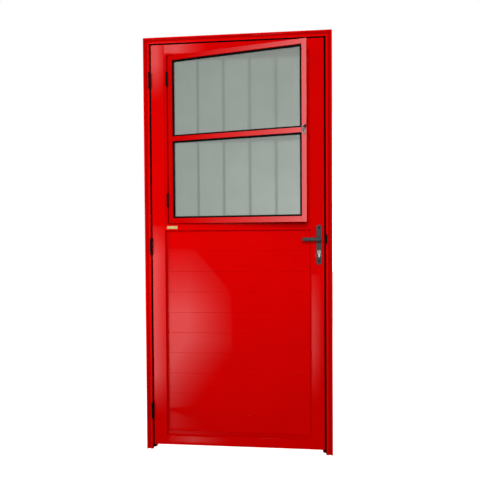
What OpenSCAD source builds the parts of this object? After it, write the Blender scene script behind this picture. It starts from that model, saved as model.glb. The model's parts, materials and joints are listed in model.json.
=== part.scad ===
// Aluminium entrance door in its frame: a leaf with a slatted lower half and, above it,
// a glazed sash on its own hinges in front of a security grille.
// X runs to the right, Y from the front face to the back, Z up.
// The origin is at the foot of the frame, midway between the jambs, on the front face.

/* [Frame] */
// Width over the jambs
frame_w = 900; // [860:1:1000]
// Height of the frame
frame_h = 2000; // [1980:1:2100]
// Depth of the frame, front to back
frame_depth = 50; // [48:0.5:70]
// Width of the frame's face, up to the rebate
frame_face = 29.5; // [26:0.5:40]
// Chamfer on the front edges of the extrusions
edge_break = 0.6; // [0.2:0.1:1]
// Wall of the frame extrusion
frame_wall = 2; // [1.5:0.1:2.4]
// Width of the outer rib on the frame's face
rib_w = 8; // [7:0.5:11]
// Width of the sunk groove beside the outer rib
groove_w = 11; // [8:0.5:11]
// Depth of the sunk groove
groove_depth = 3.5; // [1:0.5:5]
// Depth of the rebate, from the face to the stop
rebate_depth = 24; // [23.5:0.5:28]
// How far the stop stands out into the opening
stop_w = 14; // [12:0.5:16]
// Diameter of the fixing holes in the jambs
fixing_hole_d = 8; // [6:0.5:10]
// Distance between the two fixing holes of a pair
fixing_spacing = 500; // [300:10:520]

/* [Leaf] */
// Gap between the leaf and the jambs
leaf_gap = 9; // [7:0.5:10]
// Gap between the leaf and the head
head_gap = 7.5; // [6:0.5:10]
// Gap between the leaf and the floor
floor_gap = 25; // [10:1:40]
// Thickness of the leaf
leaf_depth = 44; // [43:0.5:48]
// Thickness of the leaf's front lip, which covers the gasket
lip_depth = 20; // [19.5:0.5:20.5]
// How far the back of the leaf is set in from its front lip
lip_step = 10; // [9:0.5:11]
// Width of the stiles
stile_w = 62.5; // [58:0.5:80]
// Height of the top rail
top_rail_h = 49; // [40:1:80]
// Height of the middle rail
middle_rail_h = 30; // [22:0.5:60]
// Height of the bottom rail
bottom_rail_h = 45; // [40:1:120]
// Wall of the leaf's extrusions
leaf_wall = 2; // [1.5:0.1:2.2]

/* [Panel] */
// Height of one slat
slat_pitch = 100; // [90:0.5:104]
// Thickness of a slat
slat_depth = 12; // [10:0.5:14]
// Depth of the V at the joints between slats
slat_bevel = 0.6; // [0.5:0.1:2.5]
// Wall of a slat
slat_wall = 1.3; // [1:0.1:2]
// Depth of the channel that holds the slats
channel_depth = 14; // [10:0.5:18]
// Width of the beads at the sides and top of the panel
bead_w = 5; // [3:0.5:12]
// Height of the bead at the foot of the panel
foot_bead_h = 17; // [5:0.5:20]

/* [Window] */
// Angle at which the sash stands open
sash_open = 10.2; // [0:0.1:80]
// Face of the window's side members
band_w = 14; // [12:0.5:30]
// Width of the stops behind the sash
sash_stop_w = 19; // [12:0.5:30]
// Depth of the sash
sash_depth = 26; // [24:0.5:26.5]
// Gap round the closed sash
sash_gap = 4; // [3.6:0.1:5]
// Face of the sash's stiles, top rail and middle bar
sash_face = 22; // [20:0.5:26]
// Face of the sash's bottom rail
sash_foot_face = 26; // [22:0.5:40]
// Depth of the groove that holds the glass, inside the face
glazing_groove = 6; // [5:0.5:7]
// Thickness of the lips in front of and behind the glass
glazing_lip = 5; // [4:0.5:5.5]
// Thickness of a pane
glass_t = 4; // [3:0.5:6]
// How far the gasket shows beside the sash's face
gasket_show = 8; // [4:0.5:10]
// Height of the middle bar above the middle of the sash
middle_bar_rise = 4; // [-50:1:50]
// Diameter of a grille bar
grille_d = 12; // [8:0.5:12.4]
// Distance between the grille bars
grille_pitch = 126.5; // [90:0.5:130]
// Height of the grille's cross bar
cross_bar_h = 25; // [16:0.5:50]

/* [Hinges] */
// Diameter of a leaf hinge's barrel
hinge_d = 14; // [12:0.5:14]
// Length of a leaf hinge
hinge_l = 75; // [60:1:100]
// Distance from an end of the leaf to the middle of the hinge there
hinge_inset = 169.5; // [120:0.5:300]
// Thickness of a leaf hinge's wing
wing_t = 2.5; // [1.5:0.1:3]
// Diameter of a sash hinge's barrel
sash_hinge_d = 11; // [9:0.5:11]
// Length of a sash hinge
sash_hinge_l = 66; // [50:1:80]
// Distance from an end of the sash to the middle of the hinge there
sash_hinge_inset = 112; // [60:1:200]

/* [Lock] */
// Height of the lever's axis above the floor
lever_z = 1025; // [990:1:1030]
// Distance from the leaf's edge to the lever's axis
backset = 25; // [24:0.5:26]
// Length of the lever from its axis to its tip
lever_l = 82; // [70:1:120]
// Diameter of the lever at its root
lever_root_d = 20; // [16:0.5:22]
// Diameter of the lever at its tip
lever_tip_d = 16.5; // [8:0.5:18]
// Distance from the leaf's face to the middle of the lever
lever_reach = 42; // [36:1:55]
// Width of the handle plate
plate_w = 24; // [22:0.5:30]
// Thickness of the handle plate
plate_t = 7; // [5:0.5:9]
// How far the handle plate reaches above the lever's axis
plate_up = 67; // [62:1:68]
// How far the handle plate reaches below the lever's axis
plate_down = 120; // [112:1:124]
// Distance from the lever's axis down to the key plug
cylinder_drop = 60; // [60:0.5:72]
// Travel of the latch bolt
latch_throw = 14; // [10:0.5:14]

/* [Sash latch] */
// Length of the latch base
latch_base_l = 40; // [34:1:50]
// Width of the latch base
latch_base_w = 11.5; // [11:0.5:14]
// Length of the latch lever from its pivot
latch_lever_l = 20; // [18:0.5:22]
// Angle of the latch lever above level
latch_angle = 55; // [45:1:90]

/* [Hidden] */
$fn = 48;

// Colours
red = [0.82, 0.0, 0.0];
black = [0.04, 0.04, 0.04];
hardware = [0.25, 0.27, 0.28];
steel = [0.72, 0.73, 0.74];
brass = [0.72, 0.58, 0.32];
grey = [0.6, 0.62, 0.62];
frosted = [0.6, 0.65, 0.6, 0.8];

// Clearances: flat parts that stand apart, parts that slide, and parts that turn on a pin
clear = 0.3;
slide = 0.2;
running = 0.05;
// A little more than nothing, so that a cut passes right through a face
eps = 1;

// Frame outline
jamb_x = frame_w / 2;
rebate_x = jamb_x - frame_face;
rebate_z = frame_h - frame_face;
liner_t = 1.2;
gasket_front = 0.5;
gasket_reach = 10;
key_leg = 60;
fixing_y = rebate_depth / 2;

// Leaf outline
leaf_x = rebate_x - leaf_gap;
leaf_top = rebate_z - head_gap;
stile_x = leaf_x - stile_w;
panel_y = lip_depth;
slat_count = 10;
panel_foot = floor_gap + bottom_rail_h;
panel_top = panel_foot + slat_count * slat_pitch;
window_foot = panel_top + middle_rail_h;
window_top = leaf_top - top_rail_h;
rail_channel = 10;
tongue_h = 7;
tongue_t = 3.6;
bead_depth = 6;
bead_edge = 2;

// Window outline
band_x = stile_x - band_w;
sash_stop_x = band_x - sash_stop_w;
band_set_back = 1.5;
sash_stop_y = sash_depth + 1.6;
sash_stop_h = 14;
window_wall = 1.8;
sash_x = band_x - sash_gap;
sash_foot = window_foot + sash_gap;
sash_top = window_top - sash_gap;
middle_bar_z = (sash_foot + sash_top) / 2 + middle_bar_rise;
sash_core = sash_face - glazing_groove;
sash_foot_core = sash_foot_face - glazing_groove;
sash_wall = 2;
glass_forward = 1;
glass_y = (sash_depth - glass_t) / 2 - glass_forward;
glass_inset = 2;
grille_y = (sash_stop_y + leaf_depth) / 2;
grille_count = 4;

// Hinges
hinge_x = -(leaf_x + leaf_gap / 2);
hinge_y = -(hinge_d / 2 + clear);
hinge_pin_d = 6;
pin_tip_h = 2;
hinge_middle = (floor_gap + leaf_top) / 2;
hinge_rows = [floor_gap + hinge_inset, hinge_middle, leaf_top - hinge_inset];
fixing_rows = [for (k = [0, 1]) (hinge_rows[k] + hinge_rows[k + 1]) / 2];
wing_depth = 19;
wing_screws = [-hinge_l / 3, 0, hinge_l / 3];
sash_hinge_x = -(sash_x + sash_gap / 2);
sash_hinge_y = -(sash_hinge_d / 2 + clear);
sash_hinge_pin_d = 4.5;
sash_wing_t = (sash_gap - 2 * clear) / 2;
sash_wing_depth = 18;
sash_hinge_rows = [sash_foot + sash_hinge_inset, sash_top - sash_hinge_inset];

// Screws
screw_d = 4;
screw_l = 14;
screw_head_d = 7.6;
screw_head_h = 1.8;

// Lock
lever_x = leaf_x - backset;
lock_y = lip_depth / 2;
case_t = 14;
case_wall = 1.4;
case_back = 27;
case_up = 43;
case_foot = 37;
case_down = cylinder_drop + case_foot;
face_t = 2;
face_w = 16;
face_up = 60;
face_foot = 52;
face_down = cylinder_drop + face_foot;
face_screw_in = 6;
spindle_w = 8;
hub_d = 16;
boss_d = 14;
spindle_out = 30;
neck_d = 16;
plug_z = lever_z - cylinder_drop;
euro_d = 17;
euro_w = 10;
euro_h = 33;
plug_d = 12.5;
key_t = 2;
key_h = 8;
key_depth = 10;
cam_r = 15;
cam_w = 9;
cam_t = 8;
latch_h = 18;
latch_t = 8;
latch_nose_t = 1.5;
latch_bevel = 9;
latch_tail_t = 3;
latch_bridge = 3;
latch_lug_w = 4;
latch_lug_h = 9;
bolt_h = 22;
bolt_t = 8;
bolt_l = 36;
bolt_chamfer = 1;
bolt_drop = 29;
bolt_z = lever_z - bolt_drop;
arm_r = 21;
arm_w = 6;
arm_t = 4;
follower_y = lock_y - latch_t / 2 + latch_tail_t + 2 * slide;
cylinder_stand = 4;
plate_step = 1.2;
plate_screws = [plate_up - 12.5, 16 - plate_down];
strike_t = 2;
strike_lip_l = 43;
strike_lip_w = 6;
strike_screw_in = 9;
strike_up = 40;
strike_down = 70;

// Sash latch
latch_x = sash_x - 13;
latch_z = middle_bar_z + 4;
latch_base_t = 4;
latch_pin_d = 5;
latch_hub_d = 11;
latch_lever_t = 4;
latch_lever_w = 9;
latch_lever_y = latch_base_t + clear + latch_lever_t;
latch_pin_head_d = 8;
latch_pin_head_t = 1.2;
keeper_h = 30;
keeper_drop = 16;
keeper_t = 2;
keeper_reach = 1;
keeper_lip_h = 12;

// Basic shapes

// Block between two corners
module block(low, high) {
    translate(low) cube([for (i = [0:2]) high[i] - low[i]]);
}

// Copy on both sides of the door's middle plane
module both_sides() {
    children();
    mirror([1, 0, 0]) children();
}

// Turn about a vertical hinge line, from closed to open
module swing(x, y, angle) {
    translate([x, y, 0]) rotate([0, 0, -angle]) translate([-x, -y, 0]) children();
}

// Sash pieces are drawn closed and stand ajar
module ajar() {
    swing(sash_hinge_x, sash_hinge_y, sash_open) children();
}

// Round bar along X, Y or Z
module bar_x(x0, x1, y, z, d) {
    translate([x0, y, z]) rotate([0, 90, 0]) cylinder(d = d, h = x1 - x0);
}
module bar_y(x, y0, y1, z, d) {
    translate([x, y0, z]) rotate([-90, 0, 0]) cylinder(d = d, h = y1 - y0);
}
module bar_z(x, y, z0, z1, d) {
    translate([x, y, z0]) cylinder(d = d, h = z1 - z0);
}

// Profile whose second axis is Y, run along X: its first axis points up
module along_x(x0, x1) {
    translate([x0, 0, 0]) rotate([0, 90, 0]) linear_extrude(x1 - x0) mirror([1, 0]) children();
}

// Profile drawn as X and Z, run along Y
module along_y(y0, y1) {
    translate([0, y1, 0]) rotate([90, 0, 0]) linear_extrude(y1 - y0) children();
}

// Upright slot with round ends
module stadium(x, z0, z1, w) {
    translate([x - w / 2, z0 + w / 2]) square([w, z1 - z0 - w]);
    for (z = [z0 + w / 2, z1 - w / 2]) translate([x, z]) circle(d = w);
}

// Countersunk screw along +Z, with its head's face at the origin; extra widens it into its hole
module screw(extra) {
    cylinder(d1 = screw_head_d + extra, d2 = screw_d + extra, h = screw_head_h);
    cylinder(d = screw_d + extra, h = screw_l);
}

// Frame

// Section of the frame: first axis inward from its outer edge, second axis to the back
module frame_profile() {
    w = frame_wall;
    e = edge_break;
    groove_end = rib_w + groove_w;
    stop_end = frame_face + stop_w;
    difference() {
        polygon([
            [0, e], [e, 0], [rib_w - e, 0], [rib_w, e],
            [rib_w, groove_depth], [groove_end, groove_depth],
            [groove_end, e], [groove_end + e, 0], [frame_face - e, 0], [frame_face, e],
            [frame_face, rebate_depth],
            [stop_end, rebate_depth], [stop_end, frame_depth], [0, frame_depth]
        ]);
        polygon([
            [w, w], [rib_w - w, w], [rib_w - w, groove_depth + w],
            [groove_end + w, groove_depth + w], [groove_end + w, w], [frame_face - w, w],
            [frame_face - w, rebate_depth + w], [stop_end - w, rebate_depth + w],
            [stop_end - w, frame_depth - w], [w, frame_depth - w]
        ]);
    }
}

// Wedge that cuts the mitre at the frame's top left corner
module mitre_wedge(angle) {
    size = 2 * (frame_face + stop_w);
    translate([-jamb_x, -eps, frame_h]) rotate([0, angle, 0])
        cube([size, frame_depth + 2 * eps, size]);
}

// Fixing holes through both walls of the left-hand jamb
module fixing_holes(d) {
    for (row = fixing_rows, k = [-1, 1])
        bar_x(-jamb_x - eps, -rebate_x + 2 * eps, fixing_y, row + k * fixing_spacing / 2, d);
}

// Left-hand jamb, mitred at its top, with its fixing holes
module plain_jamb() {
    difference() {
        translate([-jamb_x, 0, 0]) linear_extrude(frame_h) frame_profile();
        mitre_wedge(45);
        fixing_holes(fixing_hole_d);
    }
}

module jamb_hinge_side() {
    color(red) difference() {
        plain_jamb();
        frame_wing_screw_places() screw(slide);
    }
}

module jamb_lock_side() {
    color(red) difference() {
        mirror([1, 0, 0]) plain_jamb();
        bolt_ways(rebate_x - eps, rebate_x + frame_wall + eps, 2);
        strike_screw_places() screw(slide);
    }
}

module frame_head() {
    color(red) difference() {
        translate([0, 0, frame_h]) mirror([0, 0, 1]) along_x(-jamb_x, jamb_x) frame_profile();
        both_sides() mitre_wedge(135);
    }
}

// Angle cleats in the chamber at the two mitres
module frame_corner_keys() {
    near = frame_wall + clear;
    far = frame_face - frame_wall - clear;
    front = rebate_depth + frame_wall + clear;
    back = frame_depth - frame_wall - clear;
    color(grey) both_sides() difference() {
        block([-jamb_x + near, front, frame_h - key_leg], [-jamb_x + key_leg, back, frame_h - near]);
        block([-jamb_x + far, front - eps, frame_h - key_leg - eps],
              [-jamb_x + key_leg + eps, back + eps, frame_h - far]);
    }
}

// Black seal: lines the rebate and stands in front of the stop
module frame_gasket() {
    inner_x = rebate_x - liner_t;
    lip_x = rebate_x - gasket_reach;
    bulb_y = lip_depth + 2 * clear;
    color(black) difference() {
        block([-rebate_x, gasket_front, 0], [rebate_x, rebate_depth, rebate_z]);
        block([-inner_x, -eps, -eps], [inner_x, bulb_y, rebate_z - liner_t]);
        block([-lip_x, -eps, -eps], [lip_x, rebate_depth + eps, rebate_z - gasket_reach]);
        for (z = hinge_rows)
            block([-rebate_x - eps, -eps, z - hinge_l / 2 - eps],
                  [-inner_x + eps, bulb_y, z + hinge_l / 2 + eps]);
        block([inner_x - eps, -eps, lever_z - strike_down - eps],
              [rebate_x + eps, bulb_y, lever_z + strike_up + eps]);
        both_sides() fixing_holes(fixing_hole_d + 4);
    }
}

// Openings that the latch and the dead bolt pass through, wider than them by a margin
module bolt_ways(x0, x1, margin) {
    block([x0, lock_y - latch_t / 2 - margin, lever_z - latch_h / 2 - margin],
          [x1, lock_y + latch_t / 2 + margin, lever_z + latch_h / 2 + margin]);
    block([x0, lock_y - bolt_t / 2 - margin, bolt_z - bolt_h / 2 - margin],
          [x1, lock_y + bolt_t / 2 + margin, bolt_z + bolt_h / 2 + margin]);
}

module strike_screw_places() {
    for (z = [lever_z - strike_down + strike_screw_in, lever_z + strike_up - strike_screw_in])
        translate([rebate_x - strike_t, lock_y, z]) rotate([0, 90, 0]) children();
}

module strike_plate() {
    lip_z = lever_z - strike_lip_l / 2;
    color(black) difference() {
        union() {
            block([rebate_x - strike_t, 0, lever_z - strike_down],
                  [rebate_x, lip_depth - clear, lever_z + strike_up]);
            block([rebate_x - strike_t, -strike_t, lip_z],
                  [rebate_x + strike_lip_w, 0, lip_z + strike_lip_l]);
        }
        bolt_ways(rebate_x - strike_t - eps, rebate_x + eps, 1);
        strike_screw_places() screw(slide);
    }
}

// Screws of the hinges' frame wings and of the strike plate
module frame_screws() {
    color(steel) {
        frame_wing_screw_places() screw(0);
        strike_screw_places() screw(0);
    }
}

// Butt hinges

// One wing of a butt hinge about a vertical axis: its plate, the X range of which is given, and its knuckles
module hinge_wing(outer, d, l, pin_d, plate, depth) {
    third = l / 3;
    front = d / 2 + clear;
    spans = outer ? [[-l / 2, -third / 2 - clear / 2], [third / 2 + clear / 2, l / 2]]
                  : [[-third / 2 + clear / 2, third / 2 - clear / 2]];
    difference() {
        union() {
            block([plate[0], front, -l / 2], [plate[1], front + depth, l / 2]);
            for (s = spans) {
                bar_z(0, 0, s[0], s[1], d);
                block([plate[0], 0, s[0]], [plate[1], front + eps, s[1]]);
            }
        }
        bar_z(0, 0, -l, l, pin_d + 2 * running);
    }
}

// Hinge pin with a domed tip at each end
module hinge_pin(d, l, pin_d) {
    bar_z(0, 0, -l / 2, l / 2, pin_d);
    for (k = [0, 1]) mirror([0, 0, k]) translate([0, 0, l / 2])
        cylinder(d1 = d, d2 = d - 2 * pin_tip_h, h = pin_tip_h);
}

module leaf_hinge_places() {
    for (z = hinge_rows) translate([hinge_x, hinge_y, z]) children();
}

module sash_hinge_places() {
    for (z = sash_hinge_rows) translate([sash_hinge_x, sash_hinge_y, z]) children();
}

// Screws of the frame wings point outward, those of the leaf wings inward
module frame_wing_screw_places() {
    for (z = hinge_rows, dz = wing_screws)
        translate([-rebate_x + wing_t, wing_depth / 2, z + dz]) rotate([0, -90, 0]) children();
}

module leaf_wing_screw_places() {
    for (z = hinge_rows, dz = wing_screws)
        translate([-leaf_x - wing_t, wing_depth / 2, z + dz]) rotate([0, 90, 0]) children();
}

module leaf_hinge_frame_wings() {
    half = leaf_gap / 2;
    color(black) difference() {
        leaf_hinge_places()
            hinge_wing(true, hinge_d, hinge_l, hinge_pin_d, [-half, wing_t - half], wing_depth);
        frame_wing_screw_places() screw(slide);
    }
}

module leaf_hinge_leaf_wings() {
    half = leaf_gap / 2;
    color(black) difference() {
        leaf_hinge_places()
            hinge_wing(false, hinge_d, hinge_l, hinge_pin_d, [half - wing_t, half], wing_depth);
        leaf_wing_screw_places() screw(slide);
    }
}

module leaf_hinge_pins() {
    color(black) leaf_hinge_places() hinge_pin(hinge_d, hinge_l, hinge_pin_d);
}

module sash_hinge_leaf_wings() {
    half = sash_gap / 2;
    color(black) sash_hinge_places()
        hinge_wing(true, sash_hinge_d, sash_hinge_l, sash_hinge_pin_d,
                   [-half, sash_wing_t - half], sash_wing_depth);
}

module sash_hinge_sash_wings() {
    half = sash_gap / 2;
    color(black) ajar() sash_hinge_places()
        hinge_wing(false, sash_hinge_d, sash_hinge_l, sash_hinge_pin_d,
                   [half - sash_wing_t, half], sash_wing_depth);
}

module sash_hinge_pins() {
    color(black) sash_hinge_places() hinge_pin(sash_hinge_d, sash_hinge_l, sash_hinge_pin_d);
}

// Leaf

// Section of a stile: first axis inward from the leaf's edge, second axis to the back
module stile_profile() {
    w = leaf_wall;
    e = edge_break;
    c0 = panel_y - clear;
    c1 = panel_y + slat_depth + clear;
    floor_x = stile_w - channel_depth;
    difference() {
        polygon([
            [0, e], [e, 0], [stile_w - e, 0], [stile_w, e], [stile_w, c0], [floor_x, c0],
            [floor_x, c1], [stile_w, c1],
            [stile_w, leaf_depth], [lip_step, leaf_depth], [lip_step, lip_depth], [0, lip_depth]
        ]);
        polygon([
            [w, w], [stile_w - w, w], [stile_w - w, c0 - w], [floor_x - w, c0 - w],
            [floor_x - w, c1 + w], [stile_w - w, c1 + w], [stile_w - w, leaf_depth - w],
            [lip_step + w, leaf_depth - w], [lip_step + w, lip_depth - w], [w, lip_depth - w]
        ]);
    }
}

// Left-hand stile, with its back part lowered under the frame's head
module plain_stile() {
    difference() {
        translate([-leaf_x, 0, floor_gap]) linear_extrude(leaf_top - floor_gap) stile_profile();
        block([-leaf_x - eps, lip_depth, leaf_top - lip_step],
              [-stile_x + eps, leaf_depth + eps, leaf_top + eps]);
    }
}

module leaf_stile_hinge_side() {
    color(red) difference() {
        plain_stile();
        leaf_wing_screw_places() screw(slide);
    }
}

// The lock-side stile is cut for the faceplate, spindle, cylinder and plate screws
module leaf_stile_lock_side() {
    color(red) difference() {
        mirror([1, 0, 0]) plain_stile();
        block([leaf_x - leaf_wall - eps, lock_y - face_w / 2 - slide, lever_z - face_down - slide],
              [leaf_x + eps, lock_y + face_w / 2 + slide, lever_z + face_up + slide]);
        bar_y(lever_x, -eps, leaf_depth + eps, lever_z, hub_d);
        along_y(-eps, leaf_depth + eps) euro_outline(clear);
        plate_screw_places() screw(slide);
    }
}

// Section of a rail: first axis up from its lower edge, second axis to the back
module box_section(h, w) {
    e = edge_break;
    difference() {
        polygon([[0, e], [e, 0], [h - e, 0], [h, e], [h, leaf_depth], [0, leaf_depth]]);
        translate([w, w]) square([h - 2 * w, leaf_depth - 2 * w]);
    }
}

module leaf_top_rail() {
    w = leaf_wall;
    e = edge_break;
    back_h = top_rail_h - lip_step;
    color(red) translate([0, 0, window_top]) along_x(-stile_x, stile_x) difference() {
        polygon([
            [0, e], [e, 0], [top_rail_h - e, 0], [top_rail_h, e], [top_rail_h, lip_depth],
            [back_h, lip_depth],
            [back_h, leaf_depth], [0, leaf_depth]
        ]);
        polygon([
            [w, w], [top_rail_h - w, w], [top_rail_h - w, lip_depth - w], [back_h - w, lip_depth - w],
            [back_h - w, leaf_depth - w], [w, leaf_depth - w]
        ]);
    }
}

// The middle rail takes the top slat's tongue in a channel in its underside
module leaf_middle_rail() {
    w = leaf_wall;
    h = middle_rail_h;
    e = edge_break;
    c0 = panel_y - clear;
    c1 = panel_y + slat_depth + clear;
    color(red) translate([0, 0, panel_top]) along_x(-stile_x, stile_x) difference() {
        polygon([
            [0, e], [e, 0], [h - e, 0], [h, e], [h, leaf_depth], [0, leaf_depth],
            [0, c1], [rail_channel, c1], [rail_channel, c0], [0, c0]
        ]);
        polygon([
            [w, w], [h - w, w], [h - w, leaf_depth - w], [w, leaf_depth - w],
            [w, c1 + w], [rail_channel + w, c1 + w], [rail_channel + w, c0 - w], [w, c0 - w]
        ]);
    }
}

// The bottom rail carries a tongue for the lowest slat
module leaf_bottom_rail() {
    color(red) translate([0, 0, floor_gap]) along_x(-stile_x, stile_x) {
        box_section(bottom_rail_h, leaf_wall);
        translate([bottom_rail_h - leaf_wall, panel_y + slat_depth / 2 - tongue_t / 2])
            square([tongue_h + leaf_wall, tongue_t]);
    }
}

// Section of a hollow slat with a groove below and a tongue above, bevelled into a V at its joints
module slat_profile() {
    b = slat_bevel;
    d = slat_depth;
    top = slat_pitch - slide;
    groove_h = tongue_h + slide;
    t0 = (d - tongue_t) / 2;
    t1 = (d + tongue_t) / 2;
    difference() {
        polygon([
            [0, b], [b, 0], [top - b, 0], [top, b], [top, t0], [top + tongue_h, t0],
            [top + tongue_h, t1], [top, t1], [top, d - b], [top - b, d], [b, d], [0, d - b],
            [0, t1 + slide], [groove_h, t1 + slide], [groove_h, t0 - slide], [0, t0 - slide]
        ]);
        translate([groove_h + slat_wall, slat_wall])
            square([top - groove_h - 2 * slat_wall, d - 2 * slat_wall]);
    }
}

// Slats are counted from the foot of the panel
module slat(k) {
    reach = stile_x + channel_depth - clear;
    color(red) translate([0, panel_y, panel_foot + k * slat_pitch]) along_x(-reach, reach) slat_profile();
}

// Sloping beads that frame the panel
module bead_profile(w) {
    polygon([[0, 0], [w, bead_depth - bead_edge], [w, bead_depth], [0, bead_depth]]);
}

module panel_beads() {
    y = panel_y - bead_depth;
    color(red) {
        both_sides() translate([-stile_x, y, panel_foot + foot_bead_h])
            linear_extrude(panel_top - bead_w - panel_foot - foot_bead_h) bead_profile(bead_w);
        translate([0, y, panel_foot]) along_x(-stile_x, stile_x) bead_profile(foot_bead_h);
        translate([0, y, panel_top]) mirror([0, 0, 1]) along_x(-stile_x, stile_x) bead_profile(bead_w);
    }
}

// Window

// Side member of the window: a band beside the sash and a stop behind it
module window_side_profile() {
    w = window_wall;
    end = band_w + sash_stop_w;
    difference() {
        polygon([
            [0, band_set_back], [band_w, band_set_back], [band_w, sash_stop_y], [end, sash_stop_y],
            [end, leaf_depth], [0, leaf_depth]
        ]);
        polygon([
            [w, band_set_back + w], [band_w - w, band_set_back + w], [band_w - w, sash_stop_y + w],
            [end - w, sash_stop_y + w], [end - w, leaf_depth - w], [w, leaf_depth - w]
        ]);
    }
}

module window_frame_left() {
    color(red) translate([-stile_x, 0, window_foot])
        linear_extrude(window_top - window_foot) window_side_profile();
}

module window_frame_right() {
    color(red) mirror([1, 0, 0]) translate([-stile_x, 0, window_foot])
        linear_extrude(window_top - window_foot) window_side_profile();
}

// Lower stop of the window, pierced for the grille bars; the upper one is its mirror image
module window_stop() {
    w = window_wall;
    translate([0, sash_stop_y, window_foot]) difference() {
        along_x(-sash_stop_x, sash_stop_x) difference() {
            square([sash_stop_h, leaf_depth - sash_stop_y]);
            translate([w, w]) square([sash_stop_h - 2 * w, leaf_depth - sash_stop_y - 2 * w]);
        }
        grille_places()
            bar_z(0, grille_y - sash_stop_y, sash_stop_h / 2, sash_stop_h + eps, grille_d + slide);
    }
}

module window_frame_bottom() {
    color(red) window_stop();
}

module window_frame_top() {
    color(red) translate([0, 0, window_foot + window_top]) mirror([0, 0, 1]) window_stop();
}

module grille_places() {
    for (k = [0:grille_count - 1])
        translate([(k - (grille_count - 1) / 2) * grille_pitch, 0, 0]) children();
}

module grille_bars() {
    seat = window_wall + clear;
    color(grey) grille_places() bar_z(0, grille_y, window_foot + seat, window_top - seat, grille_d);
}

// Hollow cross bar that the upright bars pass through
module grille_cross_bar() {
    w = window_wall;
    h = cross_bar_h;
    d = leaf_depth - sash_stop_y;
    color(grey) translate([0, 0, middle_bar_z - h / 2]) difference() {
        translate([0, sash_stop_y, 0]) along_x(-sash_stop_x, sash_stop_x) difference() {
            square([h, d]);
            translate([w, w]) square([h - 2 * w, d - 2 * w]);
        }
        grille_places() bar_z(0, grille_y, -eps, h + eps, grille_d + slide);
    }
}

// Sash, drawn closed

// Section of a sash member: first axis inward from its outer edge, with a groove for the glass
module sash_profile(face) {
    w = sash_wall;
    e = edge_break;
    core = face - glazing_groove;
    back = sash_depth - glazing_lip;
    difference() {
        polygon([
            [0, e], [e, 0], [face - e, 0], [face, e], [face, glazing_lip], [core, glazing_lip],
            [core, back], [face, back],
            [face, sash_depth], [0, sash_depth]
        ]);
        translate([w, w]) square([core - 2 * w, sash_depth - 2 * w]);
    }
}

module sash_stile() {
    translate([-sash_x, 0, sash_foot]) linear_extrude(sash_top - sash_foot) sash_profile(sash_face);
}

module sash_stile_left() {
    color(red) ajar() sash_stile();
}

module sash_stile_right() {
    color(red) ajar() mirror([1, 0, 0]) sash_stile();
}

module sash_bottom_rail() {
    x = sash_x - sash_face;
    color(red) ajar() translate([0, 0, sash_foot]) along_x(-x, x) sash_profile(sash_foot_face);
}

module sash_top_rail() {
    x = sash_x - sash_face;
    color(red) ajar() translate([0, 0, sash_top]) mirror([0, 0, 1]) along_x(-x, x) sash_profile(sash_face);
}

// The middle bar has a glazing groove above and below
module sash_middle_bar() {
    x = sash_x - sash_face;
    half = sash_face / 2;
    core = half - glazing_groove;
    color(red) ajar() translate([0, 0, middle_bar_z]) along_x(-x, x) difference() {
        translate([-half, 0]) square([sash_face, sash_depth]);
        for (k = [0, 1]) mirror([k, 0]) translate([core, glazing_lip])
            square([sash_face, sash_depth - 2 * glazing_lip]);
        translate([sash_wall - core, sash_wall])
            square([2 * (core - sash_wall), sash_depth - 2 * sash_wall]);
    }
}

// Height range between the glazing grooves of each pane
pane_spans = [
    [sash_foot + sash_foot_core, middle_bar_z - sash_face / 2 + glazing_groove],
    [middle_bar_z + sash_face / 2 - glazing_groove, sash_top - sash_core]
];

// Space of a pane, set in from the floor of the glazing groove
module pane_block(span, inset, y0, y1) {
    x = sash_x - sash_core - inset;
    block([-x, y0, span[0] + inset], [x, y1, span[1] - inset]);
}

module glass_panes() {
    color(frosted) ajar() for (s = pane_spans) pane_block(s, glass_inset, glass_y, glass_y + glass_t);
}

// U-shaped gaskets round the panes
module glass_gaskets() {
    fit = slide / 2;
    front = glazing_lip + fit;
    back = sash_depth - glazing_lip - fit;
    open = glazing_groove + gasket_show;
    color(black) ajar() for (s = pane_spans) difference() {
        pane_block(s, fit, front, back);
        pane_block(s, open, front - eps, back + eps);
        pane_block(s, glass_inset - fit, glass_y - fit, glass_y + glass_t + fit);
    }
}

// Lock

// Outline of the cylinder: a round barrel with a narrower tail below it
module euro_outline(extra) {
    tail_z = plug_z + euro_d / 2 - euro_h + euro_w / 2;
    translate([lever_x, plug_z]) circle(d = euro_d + 2 * extra);
    translate([lever_x, tail_z]) circle(d = euro_w + 2 * extra);
    translate([lever_x - euro_w / 2 - extra, tail_z]) square([euro_w + 2 * extra, plug_z - tail_z]);
}

module lock_case() {
    x0 = lever_x - case_back;
    x1 = leaf_x - face_t;
    z0 = lever_z - case_down;
    z1 = lever_z + case_up;
    y0 = lock_y - case_t / 2;
    y1 = lock_y + case_t / 2;
    w = case_wall;
    color(steel) difference() {
        block([x0, y0, z0], [x1, y1, z1]);
        block([x0 + w, y0 + w, z0 + w], [x1 - w, y1 - w, z1 - w]);
        bolt_ways(x1 - w - eps, x1 + eps, slide);
        bar_y(lever_x, y0 - eps, y1 + eps, lever_z, boss_d + 2 * running);
        along_y(y0 - eps, y1 + eps) euro_outline(slide);
    }
}

module face_screw_places() {
    for (z = [lever_z - face_down + face_screw_in, lever_z + face_up - face_screw_in])
        translate([leaf_x, lock_y, z]) rotate([0, -90, 0]) children();
}

module lock_faceplate() {
    color(steel) difference() {
        block([leaf_x - face_t, lock_y - face_w / 2, lever_z - face_down],
              [leaf_x, lock_y + face_w / 2, lever_z + face_up]);
        bolt_ways(leaf_x - face_t - eps, leaf_x + eps, slide);
        face_screw_places() screw(slide);
    }
}

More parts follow.
